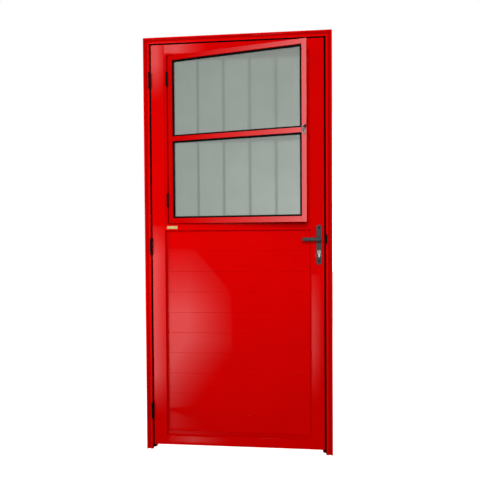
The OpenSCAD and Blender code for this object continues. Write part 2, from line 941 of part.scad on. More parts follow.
// Screws of the hinges' leaf wings and of the lock's faceplate
module leaf_screws() {
    color(steel) {
        leaf_wing_screw_places() screw(0);
        face_screw_places() screw(0);
    }
}

// Turning piece that the spindle passes through; its upright arm draws the latch back
module lock_follower() {
    half = spindle_w / 2 + slide / 2;
    y0 = lock_y - case_t / 2;
    y1 = lock_y + case_t / 2;
    color(steel) difference() {
        union() {
            bar_y(lever_x, y0, y1, lever_z, boss_d);
            bar_y(lever_x, follower_y, y1 - case_wall - slide, lever_z, hub_d);
            block([lever_x - arm_w / 2, follower_y, lever_z],
                  [lever_x + arm_w / 2, follower_y + arm_t, lever_z + arm_r]);
        }
        block([lever_x - half, y0 - eps, lever_z - half], [lever_x + half, y1 + eps, lever_z + half]);
    }
}

// Bevelled latch: its tail passes beside the follower, with a lug behind the follower's arm
module latch_bolt() {
    y0 = lock_y - latch_t / 2;
    y1 = lock_y + latch_t / 2;
    nose = leaf_x + latch_throw;
    root = leaf_x - face_t - slide;
    tail_end = leaf_x - face_t - case_wall - slide;
    tail_start = lever_x - boss_d / 2 - latch_bridge - slide;
    lug_x = lever_x - arm_w / 2 - 2 * slide;
    low = lever_z - latch_h / 2;
    high = lever_z + latch_h / 2;
    slot_h = boss_d / 2 + slide;
    color(steel) {
        translate([0, 0, low]) linear_extrude(latch_h) polygon([
            [root, y0], [nose, y0], [nose, y0 + latch_nose_t], [nose - latch_bevel, y1], [root, y1]
        ]);
        difference() {
            union() {
                block([tail_start, y0, low], [tail_end, y0 + latch_tail_t, lever_z + arm_r]);
                block([tail_end - eps, y0, low], [root + eps, y0 + latch_tail_t, high]);
            }
            block([lever_x - boss_d / 2 - slide, y0 - eps, lever_z - slot_h],
                  [lever_x + boss_d / 2 + latch_throw + slide, y0 + latch_tail_t + eps, lever_z + slot_h]);
        }
        block([lug_x - latch_lug_w, y0, lever_z + arm_r - latch_lug_h],
              [lug_x, follower_y + arm_t, lever_z + arm_r]);
    }
}

module dead_bolt() {
    y0 = lock_y - bolt_t / 2;
    y1 = lock_y + bolt_t / 2;
    end = leaf_x - slide;
    c = bolt_chamfer;
    color(steel) translate([0, 0, bolt_z - bolt_h / 2]) linear_extrude(bolt_h) polygon([
        [end - bolt_l, y0], [end - c, y0], [end, y0 + c], [end, y1 - c], [end - c, y1], [end - bolt_l, y1]
    ]);
}

// Cylinder body, split in the middle for the cam
module cylinder_body() {
    y0 = -plate_t - cylinder_stand;
    y1 = leaf_depth + plate_t + cylinder_stand;
    room = cam_t / 2 + clear;
    color(steel) difference() {
        along_y(y0, y1) euro_outline(0);
        bar_y(lever_x, y0 - eps, y1 + eps, plug_z, plug_d + 2 * running);
        bar_y(lever_x, lock_y - room, lock_y + room, plug_z, 2 * (cam_r + clear));
    }
}

// Key plugs, each with a key slot in its face
module cylinder_plugs() {
    y0 = -plate_t - cylinder_stand;
    y1 = leaf_depth + plate_t + cylinder_stand;
    color(brass) difference() {
        union() {
            bar_y(lever_x, y0, lock_y - cam_t / 2, plug_z, plug_d);
            bar_y(lever_x, lock_y + cam_t / 2, y1, plug_z, plug_d);
        }
        for (y = [y0, y1])
            block([lever_x - key_t / 2, y - key_depth, plug_z - key_h / 2],
                  [lever_x + key_t / 2, y + key_depth, plug_z + key_h / 2]);
    }
}

// Driving cam between the two plugs, with its finger pointing down at rest
module cylinder_cam() {
    color(brass) {
        bar_y(lever_x, lock_y - cam_t / 2, lock_y + cam_t / 2, plug_z, plug_d);
        along_y(lock_y - cam_t / 2, lock_y + cam_t / 2) {
            translate([lever_x - cam_w / 2, plug_z - cam_r + cam_w / 2]) square([cam_w, cam_r - cam_w / 2]);
            translate([lever_x, plug_z - cam_r + cam_w / 2]) circle(d = cam_w);
        }
    }
}

// Handles

// Pieces of the inside handle mirror those of the outside one
module inside() {
    translate([0, leaf_depth, 0]) mirror([0, 1, 0]) children();
}

module plate_screw_places() {
    for (dz = plate_screws) {
        translate([lever_x, -plate_t, lever_z + dz]) rotate([-90, 0, 0]) children();
        inside() translate([lever_x, -plate_t, lever_z + dz]) rotate([-90, 0, 0]) children();
    }
}

// Long plate with round ends and a stepped edge
module handle_plate() {
    z0 = lever_z - plate_down;
    z1 = lever_z + plate_up;
    s = plate_step;
    difference() {
        union() {
            along_y(-plate_t + s, 0) stadium(lever_x, z0, z1, plate_w);
            along_y(-plate_t, 0) stadium(lever_x, z0 + s, z1 - s, plate_w - 2 * s);
        }
        bar_y(lever_x, -plate_t - eps, eps, lever_z, neck_d + 2 * running);
        along_y(-plate_t - eps, eps) euro_outline(slide);
        plate_screw_places() screw(slide);
    }
}

module outside_handle_plate() {
    color(hardware) handle_plate();
}

module inside_handle_plate() {
    color(hardware) inside() handle_plate();
}

module handle_plate_screws() {
    color(steel) plate_screw_places() screw(0);
}

// Lever: a round neck, a ball at the bend and a tapering grip with a round tip
module lever() {
    half = spindle_w / 2 + slide / 2;
    grip_l = lever_l - lever_tip_d / 2;
    difference() {
        union() {
            bar_y(lever_x, -lever_reach, -clear, lever_z, neck_d);
            translate([lever_x, -lever_reach, lever_z]) {
                sphere(d = lever_root_d);
                rotate([0, -90, 0]) cylinder(d1 = lever_root_d, d2 = lever_tip_d, h = grip_l);
                translate([-grip_l, 0, 0]) sphere(d = lever_tip_d);
            }
        }
        block([lever_x - half, -spindle_out - slide, lever_z - half], [lever_x + half, eps, lever_z + half]);
    }
}

module outside_lever() {
    color(hardware) lever();
}

module inside_lever() {
    color(hardware) inside() lever();
}

module lever_spindle() {
    half = spindle_w / 2;
    color(steel) block([lever_x - half, -spindle_out, lever_z - half],
                       [lever_x + half, leaf_depth + spindle_out, lever_z + half]);
}

// Sash latch

// Base screwed to the sash's face, with a headed pivot pin
module sash_latch_base() {
    color(steel) ajar() {
        along_y(-latch_base_t, 0)
            stadium(latch_x, middle_bar_z - latch_base_l / 2, middle_bar_z + latch_base_l / 2, latch_base_w);
        bar_y(latch_x, -latch_lever_y - clear - latch_pin_head_t, -latch_base_t, latch_z, latch_pin_d);
        bar_y(latch_x, -latch_lever_y - clear - latch_pin_head_t, -latch_lever_y - clear, latch_z,
              latch_pin_head_d);
    }
}

// Lever that turns on the pin and swings under the keeper's lip
module sash_latch_lever() {
    tip = latch_lever_l - latch_lever_w / 2;
    color(hardware) ajar() translate([latch_x, 0, latch_z]) rotate([0, -latch_angle, 0]) difference() {
        along_y(-latch_lever_y, -latch_base_t - clear) {
            circle(d = latch_hub_d);
            translate([0, -latch_lever_w / 2]) square([tip, latch_lever_w]);
            translate([tip, 0]) circle(d = latch_lever_w);
        }
        bar_y(0, -latch_lever_y - eps, 0, 0, latch_pin_d + 2 * running);
    }
}

// Keeper on the window's right-hand band: a foot, a post and a lip in front of the lever
module sash_keeper() {
    mid_x = (band_x + stile_x) / 2;
    foot_y = band_set_back - keeper_t;
    lip_y = -latch_lever_y - 1.5 * clear;
    post_x = mid_x + keeper_t;
    color(red) {
        block([band_x + keeper_t / 2, foot_y, middle_bar_z - keeper_h / 2 - keeper_drop],
              [stile_x - keeper_t / 2, band_set_back, middle_bar_z + keeper_h / 2]);
        block([mid_x - keeper_t / 2, lip_y - keeper_t, latch_z - keeper_lip_h / 2],
              [post_x, foot_y, latch_z + keeper_lip_h / 2]);
        block([band_x - keeper_reach, lip_y - keeper_t, latch_z - keeper_lip_h / 2],
              [post_x, lip_y, latch_z + keeper_lip_h / 2]);
    }
}

jamb_hinge_side();
jamb_lock_side();
frame_head();
frame_corner_keys();
frame_gasket();
strike_plate();
frame_screws();
leaf_hinge_frame_wings();
leaf_hinge_pins();
leaf_stile_hinge_side();
leaf_stile_lock_side();
leaf_top_rail();
leaf_middle_rail();
leaf_bottom_rail();
slat(0);  // slat_01
slat(1);  // slat_02
slat(2);  // slat_03
slat(3);  // slat_04
slat(4);  // slat_05
slat(5);  // slat_06
slat(6);  // slat_07
slat(7);  // slat_08
slat(8);  // slat_09
slat(9);  // slat_10
panel_beads();
window_frame_left();
window_frame_right();
window_frame_top();
window_frame_bottom();
grille_bars();
grille_cross_bar();
leaf_hinge_leaf_wings();
leaf_screws();
lock_case();
lock_faceplate();
cylinder_body();
outside_handle_plate();
inside_handle_plate();
handle_plate_screws();
sash_keeper();
sash_hinge_leaf_wings();
outside_lever();
inside_lever();
lever_spindle();
lock_follower();
latch_bolt();
dead_bolt();
cylinder_plugs();
cylinder_cam();
sash_stile_left();
sash_stile_right();
sash_top_rail();
sash_bottom_rail();
sash_middle_bar();
glass_panes();
glass_gaskets();
sash_hinge_sash_wings();
sash_hinge_pins();
sash_latch_base();
sash_latch_lever();
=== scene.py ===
import json
import math

import bmesh
import bpy
from mathutils import Matrix, Vector


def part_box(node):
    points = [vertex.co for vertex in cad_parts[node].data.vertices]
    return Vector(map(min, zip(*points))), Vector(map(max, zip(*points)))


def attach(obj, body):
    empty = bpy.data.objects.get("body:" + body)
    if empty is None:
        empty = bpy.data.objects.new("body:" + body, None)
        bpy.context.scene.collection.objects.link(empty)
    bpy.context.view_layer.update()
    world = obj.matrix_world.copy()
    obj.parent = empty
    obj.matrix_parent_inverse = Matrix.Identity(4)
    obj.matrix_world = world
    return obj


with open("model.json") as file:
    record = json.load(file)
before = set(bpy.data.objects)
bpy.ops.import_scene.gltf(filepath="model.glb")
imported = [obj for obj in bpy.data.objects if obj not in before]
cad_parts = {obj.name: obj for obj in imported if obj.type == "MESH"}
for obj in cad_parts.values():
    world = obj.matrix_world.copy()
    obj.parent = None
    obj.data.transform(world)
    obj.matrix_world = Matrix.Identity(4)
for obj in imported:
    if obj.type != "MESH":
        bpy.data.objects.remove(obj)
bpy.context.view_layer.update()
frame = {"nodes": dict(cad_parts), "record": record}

bl_info = {
    "name": "Red aluminium door",
    "version": (1, 0, 0),
    "blender": (4, 5, 0),
    "location": "View3D > Sidebar > Door",
    "description": "Finishes, small fittings and studio of a painted aluminium door in its frame",
    "category": "Object",
}

NODES = frame["nodes"]
SLATS = tuple(name for name in NODES if name.startswith("slat_"))

# Which nodes take which finish
FRAME_PAINTED = ("jamb_hinge_side", "jamb_lock_side", "frame_head")
LEAF_PAINTED = (
    "leaf_stile_hinge_side", "leaf_stile_lock_side", "leaf_top_rail", "leaf_middle_rail",
) + SLATS
SASH_PAINTED = (
    "sash_stile_left", "sash_stile_right", "sash_top_rail", "sash_bottom_rail", "sash_middle_bar",
)
WINDOW_PAINTED = (
    "window_frame_left", "window_frame_right", "window_frame_top", "window_frame_bottom", "sash_keeper",
)
FOOT_PAINTED = ("leaf_bottom_rail",)
BEADS = ("panel_beads",)
RUBBER = ("frame_gasket", "glass_gaskets")
BLACK = (
    "strike_plate", "leaf_hinge_frame_wings", "leaf_hinge_pins", "leaf_hinge_leaf_wings",
    "sash_hinge_leaf_wings", "sash_hinge_sash_wings", "sash_hinge_pins", "handle_plate_screws",
)
HANDLE = (
    "outside_handle_plate", "inside_handle_plate", "outside_lever", "inside_lever",
)
DARK_LEVER = ("sash_latch_lever",)
STEEL = (
    "frame_screws", "leaf_screws", "lock_case", "lever_spindle", "lock_follower",
)
DARK_STEEL = ("lock_faceplate", "latch_bolt", "dead_bolt")
NICKEL = ("cylinder_body",)
CAST = ("sash_latch_base",)
PLUGS = ("cylinder_plugs",)
BRASS = ("cylinder_cam",)
GRILLE = ("grille_bars", "grille_cross_bar", "frame_corner_keys")
GLASS = ("glass_panes",)

# Fixed tones, in linear light
HINGE_BLACK = (0.0045, 0.005, 0.005)
SCREW_BLACK = (0.008, 0.009, 0.01)
LATCH_DARK = (0.012, 0.015, 0.024)
LATCH_GREY = (0.2, 0.24, 0.245)
PLATED_STEEL = (0.62, 0.63, 0.64)
BLACKENED_STEEL = (0.045, 0.045, 0.048)
DRAWN_BRASS = (0.6, 0.45, 0.22)
PLUG_BRASS = (0.78, 0.66, 0.5)
CYLINDER_NICKEL = (0.86, 0.84, 0.8)
GRILLE_GREY = (0.26, 0.26, 0.265)
GILT_TONES = ((0.6, 0.46, 0.16), (0.78, 0.66, 0.3))
RUBBER_TONES = ((0.002, 0.002, 0.002), (0.005, 0.005, 0.005))
FLOOR_WHITE = (0.8, 0.8, 0.8, 1.0)
WHITE = (1.0, 1.0, 1.0, 1.0)

# Most of a noise texture lies between these values
NOISE_LOW = 0.3
NOISE_HIGH = 0.7

# Which way drawn lines run, as a stretch of their texture
LINES_UP = (1.0, 1.0, 0.03)
LINES_DEEP = (1.0, 0.03, 1.0)
LINES_ACROSS = (0.03, 1.0, 1.0)

# Relief of coatings and metal, in metres
RELIEF = 0.0002
FINE_RELIEF = 0.0001

# Gloss of the paint: a clear coat, weaker on the bottom rail and the beads
COAT_ROUGHNESS = 0.035
COAT_IOR = 1.5
FOOT_GLOSS = 0.35
BEAD_GLOSS = 0.12

# Where the frame's groove gets painted shade: depths where it starts and ends, and its distance from the
# outer edges
GROOVE_SHADE_START = (0.0006, 0.0016)
GROOVE_SHADE_END = (0.0062, 0.0052)
GROOVE_SHADE_EDGE = (0.0012, 0.003)

# Shares of a screw head's diameter and height
HEAD_TOP = 0.36
SLOT_HALF = 0.09
SLOT_DEEP = 0.55
HEAD_SIDES = 24

# Light cards that only gloss sees. Each has a depth, an outline (x, z) in metres, a strength,
# fades along x and z as pairs of (full, none), a lean if its depth changes along x, and a fade
# on a slant as (x share, z share, full, none).
CARD_DEPTH = -2.86
STRIP_LEAN = 3.87
CARDS = (
    ("card_stile_low", CARD_DEPTH, ((-1.287, 1.147), (-1.115, 1.147), (-1.13, -1.22), (-1.289, -1.22)),
     1.8, ((-1.25, -0.97),), ((-0.668, -1.245), (0.8, 1.39))),
    ("card_panel", CARD_DEPTH,
     ((-1.1, 0.87), (-0.766, 0.853), (-0.341, 0.343), (-0.315, -0.5), (-0.74, -1.06), (-1.1, -1.09)),
     1.8, ((-0.86, -0.128),), ((0.1, 1.19),), 0.0, (-1.2616, 0.8975, 0.8954, -0.1046)),
    ("card_panel_foot", CARD_DEPTH, ((-1.1, -1.13), (-0.96, -1.165), (-0.45, -1.335), (-1.1, -1.345)),
     0.25, ((-1.05, -0.58),), ()),
    ("card_bottom_rail", CARD_DEPTH, ((-1.1, -1.418), (-0.26, -1.418), (-0.26, -1.49), (-1.1, -1.49)),
     2.3, ((-0.8, -0.257), (-0.82, -1.35)), ()),
    ("card_right_stile", CARD_DEPTH, ((0.63, 0.56), (0.78, 0.56), (0.78, -1.05), (0.63, -1.05)),
     1.3, ((0.625, 0.795),), ((-0.35, -1.09), (0.1, 1.0))),
    ("card_stile_top", CARD_DEPTH, ((-1.287, 3.345), (-1.123, 3.345), (-1.13, 2.655), (-1.289, 2.655)),
     1.85, ((-1.213, -1.05),), ((3.1, 2.57),)),
    ("card_top_rail", CARD_DEPTH, ((-1.12, 3.342), (-0.55, 3.346), (-0.55, 3.205), (-1.12, 3.225)),
     1.85, ((-0.965, -0.545),), ()),
    ("card_cylinder", CARD_DEPTH, ((0.682, 0.87), (0.74, 0.87), (0.74, 0.735), (0.682, 0.735)),
     2.6, (), ((0.79, 0.93),)),
    ("card_sash", -1.0,
     ((-0.3, 2.38), (0.25, 2.334), (0.25, 1.127), (-0.3, 1.127), (-0.3, 1.19), (0.03, 1.185),
      (0.03, 1.69), (-0.3, 1.7), (-0.3, 1.8), (0.03, 1.79), (0.03, 2.28), (-0.3, 2.31)),
     3.5, ((0.085, -0.9),), ()),
    ("card_sash_middle", -2.82, ((-1.0507, 3.4), (-0.5709, 2.43), (-0.5709, 1.12), (-1.0507, 1.17)),
     3.5, ((-1.628, 0.105),), (), STRIP_LEAN),
    ("card_sash_left", -0.963, ((-0.5709, 2.43), (-0.365, 2.01), (-0.365, 1.105), (-0.5709, 1.12)),
     3.5, ((-0.984, -0.295),), (), STRIP_LEAN),
)

# Lamps: name, place, target, size, and the setting that holds the power
LAMPS = (
    ("key_lamp", (0.12, -2.4, 1.48), (0.0, 0.0, 1.5), 0.6, "key_power"),
    ("side_lamp", (-1.7, -1.9, 2.1), (0.0, 0.0, 1.4), 1.2, "side_power"),
    ("back_lamp", (0.3, 2.6, 1.7), (0.0, 0.0, 1.1), 1.4, "back_power"),
    ("edge_lamp", (-0.75, -0.4, 0.78), (-0.4, 0.0, 0.78), 0.3, "edge_power"),
)

# What the world shows: a dim room for gloss, brighter to the back, and a backdrop for clear sight
ROOM_FROM = 0.05
ROOM_TO = 0.6
ROOM_DIM = 0.012
ROOM_LIT = 0.2
BACKDROP_TOP = 0.3
BACKDROP_LOW = 0.05
BACKDROP_LEFT = -0.25
BACKDROP_RIGHT = 0.0
BACKDROP_LIFT = 1.1

# The floor and how a card's light falls off
FLOOR_SIZE = 9.0
FLOOR_DROP = 0.0005
FLOOR_GLOW = 0.82
FADE_POWER = 2.2


class DoorFinishSettings(bpy.types.PropertyGroup):
    """Colours and finishes of the door"""

    red: bpy.props.FloatVectorProperty(
        name="Red", description="Paint of the leaf and its slats", subtype="COLOR", size=3,
        min=0.0, max=1.0, default=(0.68, 0.0, 0.0))
    # Painted light: a lighter copy of the leaf's red that stands in for the frame being lit more brightly
    frame_red_painted_light: bpy.props.FloatVectorProperty(
        name="Frame red", description="Paint of the jambs and the head", subtype="COLOR", size=3,
        min=0.0, max=1.0, default=(0.76, 0.0, 0.0))
    # Painted shade: a darker copy of the leaf's red that stands in for the shade on the members round the
    # sash
    window_red_painted_shade: bpy.props.FloatVectorProperty(
        name="Window red", description="Paint of the members round the sash", subtype="COLOR", size=3,
        min=0.0, max=1.0, default=(0.58, 0.0, 0.0))
    # Painted shade: a darker copy of the leaf's red that stands in for shade on the sash
    sash_red_painted_shade: bpy.props.FloatVectorProperty(
        name="Sash red", description="Paint of the sash", subtype="COLOR", size=3,
        min=0.0, max=1.0, default=(0.6, 0.0, 0.0))
    # Painted shade: a darker copy of the leaf's red that stands in for the shade on the beads round the slats
    bead_red_painted_shade: bpy.props.FloatVectorProperty(
        name="Bead red", description="Paint of the beads round the slats", subtype="COLOR", size=3,
        min=0.0, max=1.0, default=(0.54, 0.0, 0.0))
    # Painted shade: darkens the paint in the frame's groove, where shadow falls
    painted_groove_shade: bpy.props.FloatProperty(
        name="Groove shade", description="Tone of the paint in the frame's groove", subtype="FACTOR",
        min=0.0, max=1.0, default=0.6)
    handle_grey: bpy.props.FloatVectorProperty(
        name="Handle grey", description="Coating of the levers and their plates", subtype="COLOR", size=3,
        min=0.0, max=1.0, default=(0.05, 0.058, 0.063))
    glass_tint: bpy.props.FloatVectorProperty(
        name="Glass tint", description="Colour of the frosted panes", subtype="COLOR", size=3,
        min=0.0, max=1.0, default=(0.352, 0.395, 0.362))
    glass_clear: bpy.props.FloatProperty(
        name="Glass clearness", description="Share of the light that passes through the frosting",
        subtype="FACTOR", min=0.0, max=1.0, default=0.47)
    peel_size: bpy.props.FloatProperty(
        name="Coating grain", description="Size of the ripple in the paint", unit="LENGTH",
        min=0.0002, max=0.01, default=0.0022)


class DoorFittingSettings(bpy.types.PropertyGroup):
    """Sizes of the small fittings"""

    plate_left: bpy.props.FloatProperty(
        name="Plate place", description="Left end of the blank plate", unit="LENGTH", default=-0.339)
    plate_low: bpy.props.FloatProperty(
        name="Plate height", description="Lower edge of the blank plate", unit="LENGTH", default=1.0783)
    plate_length: bpy.props.FloatProperty(
        name="Plate length", description="Length of the blank plate", unit="LENGTH", default=0.051)
    plate_width: bpy.props.FloatProperty(
        name="Plate width", description="Width of the blank plate", unit="LENGTH", default=0.0135)
    plate_thick: bpy.props.FloatProperty(
        name="Plate thickness", description="Thickness of the blank plate", unit="LENGTH", default=0.0006)
    screw_head: bpy.props.FloatProperty(
        name="Screw head", description="Diameter of the small screws' heads", unit="LENGTH", default=0.0062)
    latch_face: bpy.props.FloatProperty(
        name="Latch face", description="Distance from the lever's middle to the face of its base",
        unit="LENGTH", default=0.0023)
    latch_screw_low: bpy.props.FloatProperty(
        name="Latch lower screw", description="Distance of the lower screw from the latch base's foot",
        unit="LENGTH", default=0.0115)
    latch_screw_high: bpy.props.FloatProperty(
        name="Latch upper screw", description="Distance of the upper screw from the latch base's top",
        unit="LENGTH", default=0.0065)
    keeper_screw_in: bpy.props.FloatProperty(
        name="Keeper screw place", description="Distance of the lower screw from the keeper's foot",
        unit="LENGTH", default=0.008)
    keeper_screw_pitch: bpy.props.FloatProperty(
        name="Keeper screw pitch", description="Distance between the keeper's screws",
        unit="LENGTH", default=0.0155)
    keeper_screw_side: bpy.props.FloatProperty(
        name="Keeper screw side", description="Distance of a screw from the outer edge of the keeper",
        unit="LENGTH", default=0.0045)
    keeper_thick: bpy.props.FloatProperty(
        name="Keeper thickness", description="Thickness of the keeper's foot", unit="LENGTH", default=0.002)
    screw_rise: bpy.props.FloatProperty(
        name="Screw rise", description="Height of the keeper screws' heads", unit="LENGTH", default=0.0016)
    latch_screw_rise: bpy.props.FloatProperty(
        name="Latch screw rise", description="Height of the latch screws' heads, which the lever passes over",
        unit="LENGTH", default=0.0002)


class DoorStageSettings(bpy.types.PropertyGroup):
    """Camera and light"""

    lens: bpy.props.FloatProperty(
        name="Lens", description="Focal length on a 36 mm sensor", default=30.0, min=10.0, max=200.0)
    eye: bpy.props.FloatVectorProperty(
        name="Eye", description="Place of the camera", subtype="XYZ", size=3, unit="LENGTH",
        default=(0.170, -1.904, 1.056))
    yaw: bpy.props.FloatProperty(
        name="Yaw", description="Turn of the camera to the left", subtype="ANGLE",
        default=math.radians(4.66))
    pitch: bpy.props.FloatProperty(
        name="Pitch", description="Tilt of the camera down", subtype="ANGLE", default=math.radians(1.0))
    roll: bpy.props.FloatProperty(
        name="Roll", description="Roll of the camera", subtype="ANGLE", default=math.radians(-0.38))
    key_power: bpy.props.FloatProperty(
        name="Key light", description="Power of the large lamp in front", subtype="POWER", default=43.0)
    side_power: bpy.props.FloatProperty(
        name="Side light", description="Power of the lamp at the left", subtype="POWER", default=11.0)
    back_power: bpy.props.FloatProperty(
        name="Back light", description="Power of the lamp behind the door", subtype="POWER", default=42.0)
    edge_power: bpy.props.FloatProperty(
        name="Edge light", description="Power of the lamp close to the hinge side", subtype="POWER",
        default=0.9)
    ambient: bpy.props.FloatProperty(
        name="Ambient light", description="Even light from all round", default=0.26, min=0.0, max=2.0)


def place_node(tree, kind, **values):
    """Adds a node to a tree and sets its plain attributes."""
    made = tree.nodes.new(kind)
    for name, value in values.items():
        setattr(made, name, value)
    return made


def math_node(tree, operation, first, second=None):
    """Adds a Math node; each operand is a socket or a number."""
    made = place_node(tree, "ShaderNodeMath", operation=operation)
    for index, operand in enumerate((first, second)):
        if operand is None:
            continue
        if isinstance(operand, bpy.types.NodeSocket):
            tree.links.new(operand, made.inputs[index])
        else:
            made.inputs[index].default_value = operand
    return made.outputs[0]


def range_node(tree, value, low, high, start=0.0, end=1.0, smooth=False):
    """Maps a value from low to high onto start to end, and holds it there."""
    made = place_node(tree, "ShaderNodeMapRange", clamp=True)
    made.interpolation_type = "SMOOTHSTEP" if smooth else "LINEAR"
    tree.links.new(value, made.inputs["Value"])
    made.inputs["From Min"].default_value = low
    made.inputs["From Max"].default_value = high
    made.inputs["To Min"].default_value = start
    made.inputs["To Max"].default_value = end
    return made.outputs[0]


def spread_node(tree, noise, start=0.0, end=1.0):
    """Maps the usual span of a noise texture onto start to end."""
    return range_node(tree, noise, NOISE_LOW, NOISE_HIGH, start, end)


def noise_node(tree, vector, scale, detail=2.0, rough=0.5):
    """Adds a noise texture and returns its value."""
    made = place_node(tree, "ShaderNodeTexNoise")
    tree.links.new(vector, made.inputs["Vector"])
    made.inputs["Scale"].default_value = scale
    made.inputs["Detail"].default_value = detail
    made.inputs["Roughness"].default_value = rough
    return made.outputs["Fac"]


def new_group(name, inputs, outputs):
    """Starts a shader node group with named sockets; gives the tree, its inputs and its output node."""
    tree = bpy.data.node_groups.new(name, "ShaderNodeTree")
    for label, kind, value in inputs:
        socket = tree.interface.new_socket(label, in_out="INPUT", socket_type=kind)
        if value is not None:
            socket.default_value = value
    for label, kind in outputs:
        tree.interface.new_socket(label, in_out="OUTPUT", socket_type=kind)
    return tree, tree.nodes.new("NodeGroupInput").outputs, tree.nodes.new("NodeGroupOutput").inputs


def coating_group():
    """Ripple, cloudiness and fine specks of a sprayed and baked coat."""
    if "Coating" in bpy.data.node_groups:
        return bpy.data.node_groups["Coating"]
    tree, given, out = new_group(
        "Coating",
        (("Vector", "NodeSocketVector", None), ("Grain Scale", "NodeSocketFloat", 450.0)),
        (("Height", "NodeSocketFloat"), ("Tone", "NodeSocketFloat"), ("Roughness", "NodeSocketFloat")))
    ripple = place_node(tree, "ShaderNodeTexNoise")
    ripple.inputs["Detail"].default_value = 1.0
    tree.links.new(given["Vector"], ripple.inputs["Vector"])
    tree.links.new(given["Grain Scale"], ripple.inputs["Scale"])
    wave = noise_node(tree, given["Vector"], 38.0, 1.0)
    height = math_node(tree, "ADD", ripple.outputs["Fac"], math_node(tree, "MULTIPLY", wave, 2.0))
    tree.links.new(height, out["Height"])
    cloud = noise_node(tree, given["Vector"], 3.2, 3.0)
    speck = range_node(tree, noise_node(tree, given["Vector"], 1400.0, 0.0), 0.62, 0.75)
    faint = math_node(tree, "MULTIPLY", speck, 0.25)
    tree.links.new(math_node(tree, "SUBTRACT", spread_node(tree, cloud), faint), out["Tone"])
    tree.links.new(spread_node(tree, cloud, 0.34, 0.42), out["Roughness"])
    return tree


def brushed_group():
    """Fine drawn lines along one axis, as on plated and drawn metal."""
    if "Brushed" in bpy.data.node_groups:
        return bpy.data.node_groups["Brushed"]
    tree, given, out = new_group(
        "Brushed",
        (("Vector", "NodeSocketVector", None), ("Stretch", "NodeSocketVector", LINES_UP)),
        (("Height", "NodeSocketFloat"), ("Tone", "NodeSocketFloat"), ("Roughness", "NodeSocketFloat")))
    scaled = place_node(tree, "ShaderNodeVectorMath", operation="MULTIPLY")
    tree.links.new(given["Vector"], scaled.inputs[0])
    tree.links.new(given["Stretch"], scaled.inputs[1])
    line = noise_node(tree, scaled.outputs[0], 1800.0, 2.0, 0.6)
    smear = noise_node(tree, given["Vector"], 55.0, 3.0)
    tree.links.new(line, out["Height"])
    most = math_node(tree, "MULTIPLY", line, 0.6)
    mixed = math_node(tree, "ADD", most, math_node(tree, "MULTIPLY", smear, 0.4))
    tree.links.new(spread_node(tree, mixed), out["Tone"])
    tree.links.new(spread_node(tree, mixed, 0.24, 0.4), out["Roughness"])
    return tree


class Finish:
    """A material in the making: a Principled shader, Object coordinates and a texture group."""

    def __init__(self, name, group=None, **constants):
        self.material = bpy.data.materials.new(name)
        self.material.use_nodes = True
        self.tree = self.material.node_tree
        self.shader = self.tree.nodes["Principled BSDF"]
        self.vector = place_node(self.tree, "ShaderNodeTexCoord").outputs["Object"]
        for label, value in constants.items():
            self.shader.inputs[label.replace("_", " ")].default_value = value
        self.texture = None
        if group is not None:
            self.texture = place_node(self.tree, "ShaderNodeGroup", node_tree=group)
            self.tree.links.new(self.vector, self.texture.inputs["Vector"])

    def colour(self, value, dark, light):
        """Base colour between two tones."""
        mix = place_node(self.tree, "ShaderNodeMix", data_type="RGBA")
        sockets = [s for s in mix.inputs if s.type == "RGBA"]
        sockets[0].default_value = (*dark, 1.0)
        sockets[1].default_value = (*light, 1.0)
        self.tree.links.new(value, mix.inputs["Factor"])
        result = [s for s in mix.outputs if s.type == "RGBA"][0]
        self.tree.links.new(result, self.shader.inputs["Base Color"])
        return result

    def shade(self, colour, mask, factor):
        """Darkens a colour where a mask is one."""
        scale = range_node(self.tree, mask, 0.0, 1.0, 1.0, factor)
        darker = place_node(self.tree, "ShaderNodeVectorMath", operation="SCALE")
        self.tree.links.new(colour, darker.inputs[0])
        self.tree.links.new(scale, darker.inputs["Scale"])
        self.tree.links.new(darker.outputs[0], self.shader.inputs["Base Color"])

    def rough(self, value):
        """Roughness from a value that changes over the surface."""
        self.tree.links.new(value, self.shader.inputs["Roughness"])

    def bump(self, height, strength, distance):
        """Small relief."""
        bump = place_node(self.tree, "ShaderNodeBump")
        bump.inputs["Strength"].default_value = strength
        bump.inputs["Distance"].default_value = distance
        self.tree.links.new(height, bump.inputs["Height"])
        self.tree.links.new(bump.outputs["Normal"], self.shader.inputs["Normal"])


def toned(colour, factor):
    """A colour made darker or lighter, kept within its range."""
    return tuple(min(1.0, channel * factor) for channel in colour)


def painted_groove_shade_mask(finish):
    """Mask of the painted shade: one in the groove along the frame's face, nought on its ribs and sides."""
    tree = finish.tree
    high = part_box("frame_head")[1]
    edge, middle = GROOVE_SHADE_EDGE
    place = place_node(tree, "ShaderNodeSeparateXYZ")
    tree.links.new(finish.vector, place.inputs[0])
    across = math_node(tree, "ABSOLUTE", place.outputs["X"])
    sunk = range_node(tree, place.outputs["Y"], *GROOVE_SHADE_START)
    front = range_node(tree, place.outputs["Y"], *GROOVE_SHADE_END)
    inside = range_node(tree, across, high.x - edge, high.x - middle)
    under = range_node(tree, place.outputs["Z"], high.z - edge, high.z - middle)
    mask = math_node(tree, "MULTIPLY", sunk, front)
    return math_node(tree, "MULTIPLY", mask, math_node(tree, "MULTIPLY", inside, under))


